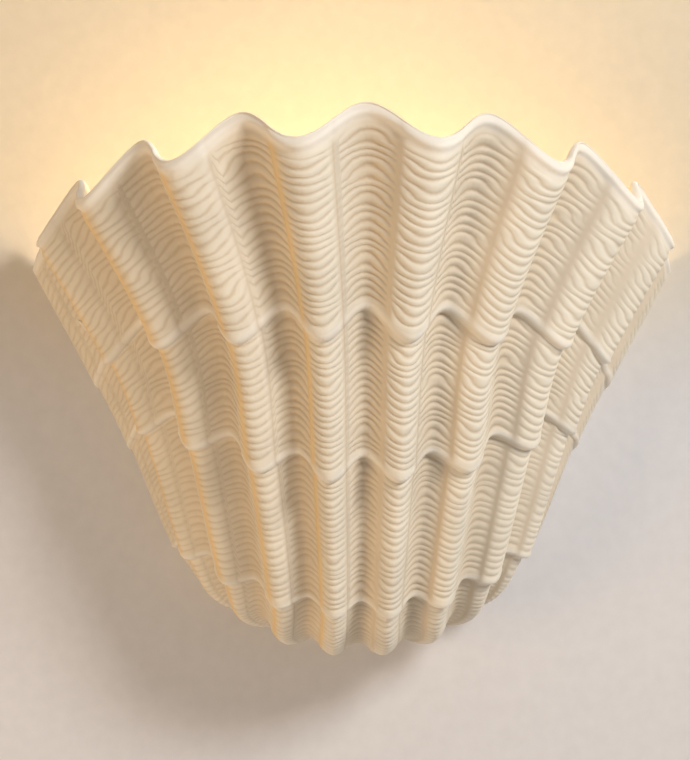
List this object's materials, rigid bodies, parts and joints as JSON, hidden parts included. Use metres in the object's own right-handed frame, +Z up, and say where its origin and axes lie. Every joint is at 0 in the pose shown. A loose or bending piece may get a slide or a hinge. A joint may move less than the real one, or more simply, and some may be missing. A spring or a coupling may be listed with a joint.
{
  "type": "shell wall sconce",
  "caption": "Wall uplighter with a fluted, tiered clam-shell casting hung on a steel wall bracket, an upright lampholder and a screw-in lamp.",
  "frame": {"origin": "on the wall plane, midway between the two wall fixing slots", "axes": "+Z up, -Y out of the wall into the room, +X to the right as seen from the room"},
  "size_m": [0.3598, 0.1558, 0.2945],
  "materials": {
    "cast_plaster": "matt cast plaster, warm ivory, unglazed",
    "bracket_steel": "white powder-coated pressed steel",
    "zinc_steel": "bright zinc-plated steel",
    "brass": "turned brass",
    "nickel_brass": "nickel-plated brass",
    "tinned_copper": "tinned copper",
    "solder": "dull solder",
    "white_nylon": "natural white nylon",
    "black_rubber": "matt black rubber",
    "holder_plastic": "white moulded plastic",
    "holder_porcelain": "unglazed white porcelain",
    "black_insulator": "black vitrite",
    "lamp_plastic": "white satin plastic",
    "board_aluminium": "white-lacquered aluminium board",
    "opal_globe": "opal diffuser, warm glow",
    "earth_insulation": "green and yellow PVC",
    "live_insulation": "brown PVC",
    "neutral_insulation": "blue PVC"
  },
  "bodies": {
    "wall_bracket": {"back_plate": "bracket_steel", "cable_grommet": "black_rubber", "terminal_body": "white_nylon", "terminal_inserts": "brass", "terminal_screws": "zinc_steel", "block_screw": "zinc_steel", "earth_screw": "brass", "earth_washer": "brass", "earth_ring": "tinned_copper", "earth_wire": "earth_insulation", "live_wire": "live_insulation", "neutral_wire": "neutral_insulation", "lamp_arm": "bracket_steel", "arm_screws": "zinc_steel", "threaded_nipple": "zinc_steel", "lock_nut": "zinc_steel", "holder_cap": "holder_plastic", "holder_insert": "holder_porcelain", "centre_contact": "brass", "thread_shell": "nickel_brass", "holder_sleeve": "holder_plastic"},
    "shell": {"shell_casting": "cast_plaster", "hanger_left": "bracket_steel", "hanger_right": "bracket_steel", "hanger_screws": "zinc_steel"},
    "lamp_tip": {"contact_tip": "solder"},
    "lamp": {"cap_insulator": "black_insulator", "lamp_cap": "nickel_brass", "lamp_housing": "lamp_plastic", "led_board": "board_aluminium", "lamp_globe": "opal_globe"}
  },
  "joints": [
    {"name": "shell_lift", "type": "slide", "parent": "wall_bracket", "child": "shell", "axis": [0, 0, 1], "range_m": [0, 0.016]},
    {"name": "lamp_travel", "type": "slide", "parent": "wall_bracket", "child": "lamp_tip", "axis": [0, 0, 1], "range_m": [0, 0.0109]},
    {"name": "lamp_turn", "type": "hinge", "parent": "lamp_tip", "child": "lamp", "pos_m": [0, -0.068, -0.04], "axis": [0, 0, 1], "range_deg": [0, 1080]}
  ],
  "couplings": [
    {"joint": "lamp_travel", "follows": "lamp_turn", "m_per_rad": 0.00057773}
  ]
}
